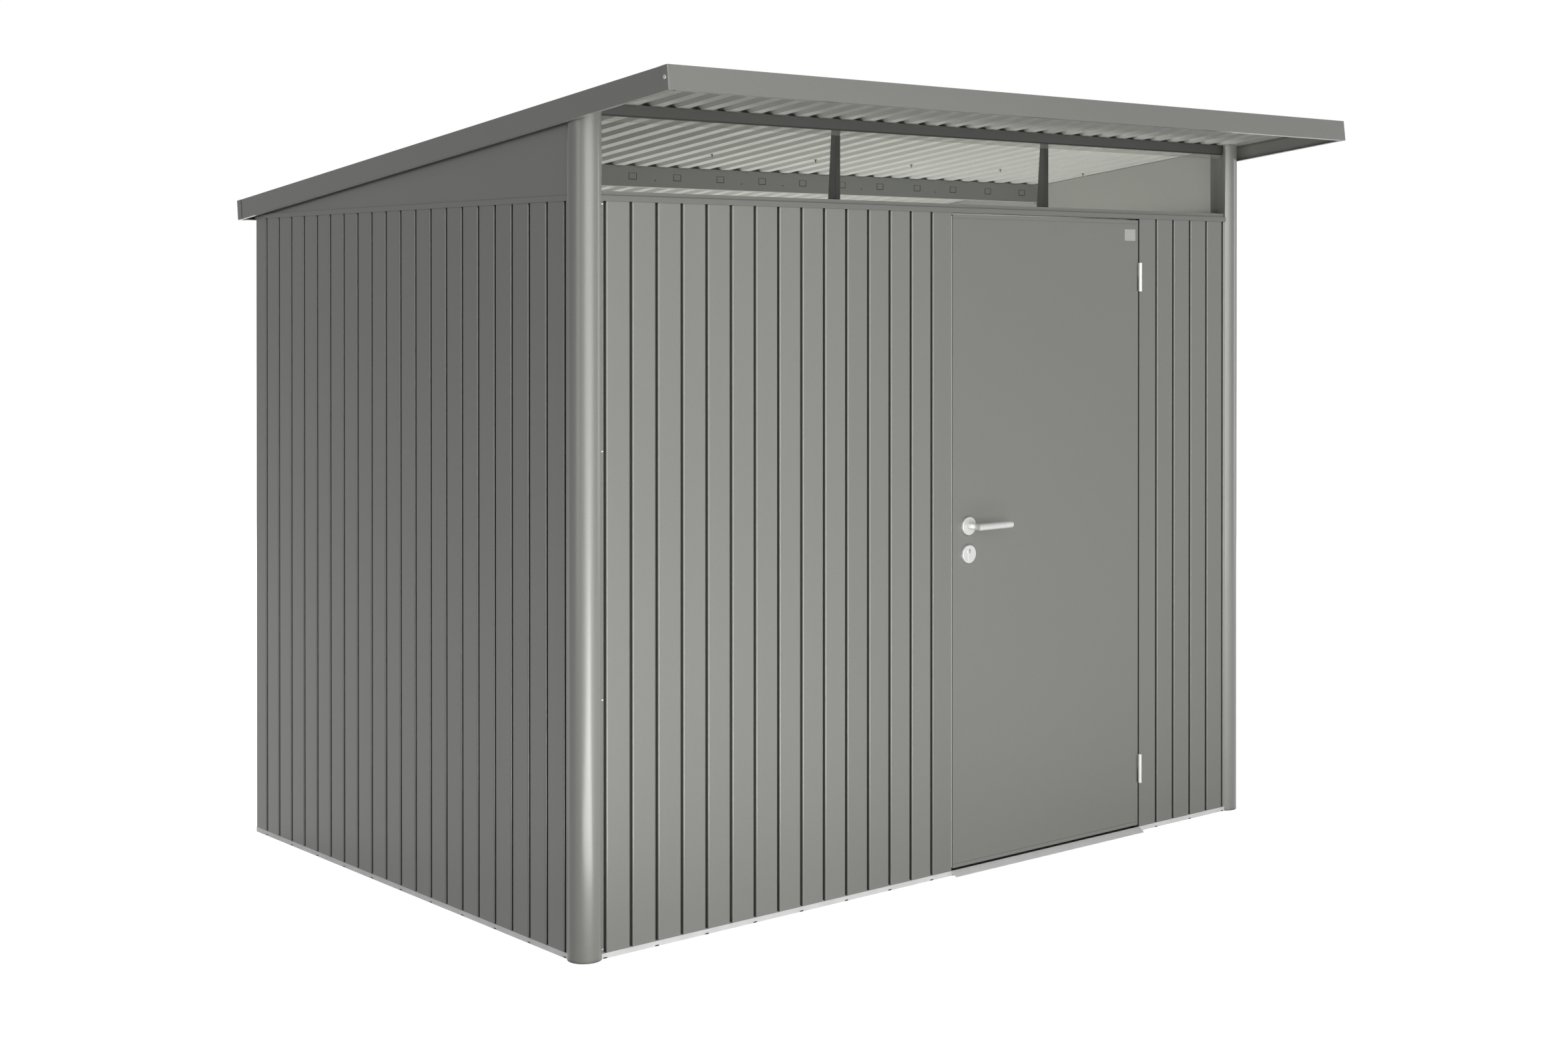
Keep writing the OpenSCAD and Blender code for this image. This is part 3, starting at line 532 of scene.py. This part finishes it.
# studio: floor and surroundings that look white, and are half as bright in reflections; the floor inside the
# shed has no glow
studio = {"floorTone": "#d8d8d8", "floorGlow": 0.9, "worldLight": 0.15, "shine": 0.5}
floors = {
    "studioFloor": {"glow": studio["floorGlow"], "shine": studio["shine"], "at": (0, 0, 0), "size": (60, 60)},
    "floorInside": {"glow": 0.0, "shine": 0.0, "at": (0, 0.159, 0.0005), "size": (2.52, 1.71)}}

# the key is a wide softbox before the front that lights and shows in reflections; lamps named glare only show
# in reflections, and the others only light
softbox = {"size": (7.2, 4.5), "at": (-0.5, -6.1, 1.9), "to": (3.0, -2.6, 1.7)}
litOnly = {"lights": True, "mirrored": False}
mirroredOnly = {"lights": False, "mirrored": True}
lamps = {
    "key": {"power": 132.0, **softbox, "lights": True, "mirrored": True},
    "glare": {"power": 520.0, **softbox, **mirroredOnly},
    "floorGlare": {"power": 125.0, "size": (1.5, 5.5), "at": (-1.65, -4.25, 0.004),
                   "to": (-1.65, -4.25, 3.0), **mirroredOnly},
    "front": {"power": 18.0, "size": (0.8, 0.9), "at": (-1.25, -3.6, 0.5), "to": (-0.9, -0.7, 0.5),
              **litOnly},
    "leftGlare": {"power": 30.0, "size": (2.4, 4.0), "at": (-7.2, -1.9, 1.4), "to": (-1.3, -0.7, 1.1),
                  **mirroredOnly},
    "sideGlare": {"power": 45.0, "size": (2.0, 4.0), "at": (7.5, -3.5, 1.4), "to": (0.0, -0.7, 1.1),
                  **mirroredOnly},
    "rear": {"power": 260.0, "size": (4.0, 2.0), "at": (2.0, 8.0, 4.5), "to": (0.0, 0.5, 1.2), **litOnly},
    "rightSide": {"power": 90.0, "size": (2.0, 3.0), "at": (8.0, 2.5, 2.0), "to": (1.3, 0.2, 1.2),
                  **litOnly},
    "bounce": {"power": 9.0, "size": (3.4, 0.8), "at": (0.0, -1.8, 0.03), "to": (0.0, -1.7, 3.0), **litOnly},
    "fill": {"power": 74.0, "size": (0.9, 1.2), "at": (0.35, 0.16, 0.06), "to": (0.25, 0.16, 3.0),
             **litOnly}}


def addFloor(name, floor):
    material, tree = newMaterial(name)[:2]
    paths = addNode(tree, "ShaderNodeLightPath", {}).outputs
    direct = addNode(tree, "ShaderNodeMath", {0: paths["Is Camera Ray"], 1: floor["glow"]},
                     operation="MULTIPLY").outputs[0]
    lit = addNode(tree, "ShaderNodeMath", {0: paths["Is Glossy Ray"], 1: floor["shine"], 2: direct},
                  operation="MULTIPLY_ADD").outputs[0]
    shader = addNode(tree, "ShaderNodeBsdfPrincipled", {
        "Base Color": linearColor(studio["floorTone"]), "Roughness": 0.9, "Specular IOR Level": 0.1,
        "Emission Color": (1, 1, 1, 1), "Emission Strength": lit})
    closeMaterial(tree, shader)
    long, wide = floor["size"]
    flat = Matrix.Translation(floor["at"]) @ Matrix.Diagonal((long / 2, wide / 2, 1, 1))
    bm = bmesh.new()
    bmesh.ops.create_grid(bm, x_segments=1, y_segments=1, size=1.0, matrix=flat)
    mesh = bpy.data.meshes.new(name)
    bm.to_mesh(mesh)
    bm.free()
    mesh.materials.append(material)
    ground = bpy.data.objects.new(name, mesh)
    bpy.context.collection.objects.link(ground)


def addArea(name, lamp):
    data = bpy.data.lights.new(name, "AREA")
    data.shape = "RECTANGLE"
    data.energy = lamp["power"]
    data.size, data.size_y = lamp["size"]
    aim = Vector(lamp["to"]) - Vector(lamp["at"])
    lampObject = bpy.data.objects.new(name, data)
    lampObject.location = lamp["at"]
    lampObject.rotation_euler = aim.to_track_quat("-Z", "Y").to_euler()
    lampObject.visible_camera = False
    lampObject.visible_diffuse = lamp["lights"]
    lampObject.visible_glossy = lamp["mirrored"]
    bpy.context.collection.objects.link(lampObject)


def addWorld():
    world = bpy.data.worlds.new("studio")
    bpy.context.scene.world = world
    world.use_nodes = True
    tree = world.node_tree
    tree.nodes.clear()
    paths = addNode(tree, "ShaderNodeLightPath", {}).outputs
    seen = addNode(tree, "ShaderNodeMath", {0: paths["Is Camera Ray"], 1: paths["Is Transmission Ray"]},
                   operation="MAXIMUM").outputs[0]
    shine = addNode(tree, "ShaderNodeMapRange", {
        "Value": paths["Is Glossy Ray"], "To Min": studio["worldLight"],
        "To Max": studio["shine"]}).outputs["Result"]
    level = addNode(tree, "ShaderNodeMix", {"Factor": seen, "A": shine, "B": 1.0},
                    data_type="FLOAT").outputs["Result"]
    back = addNode(tree, "ShaderNodeBackground", {"Color": (1, 1, 1, 1), "Strength": level})
    addNode(tree, "ShaderNodeOutputWorld", {"Surface": back.outputs[0]})


for name, floor in floors.items():
    addFloor(name, floor)
addWorld()
for name, lamp in lamps.items():
    addArea(name, lamp)
bpy.context.scene.view_settings.view_transform = "Standard"
print("studio set")
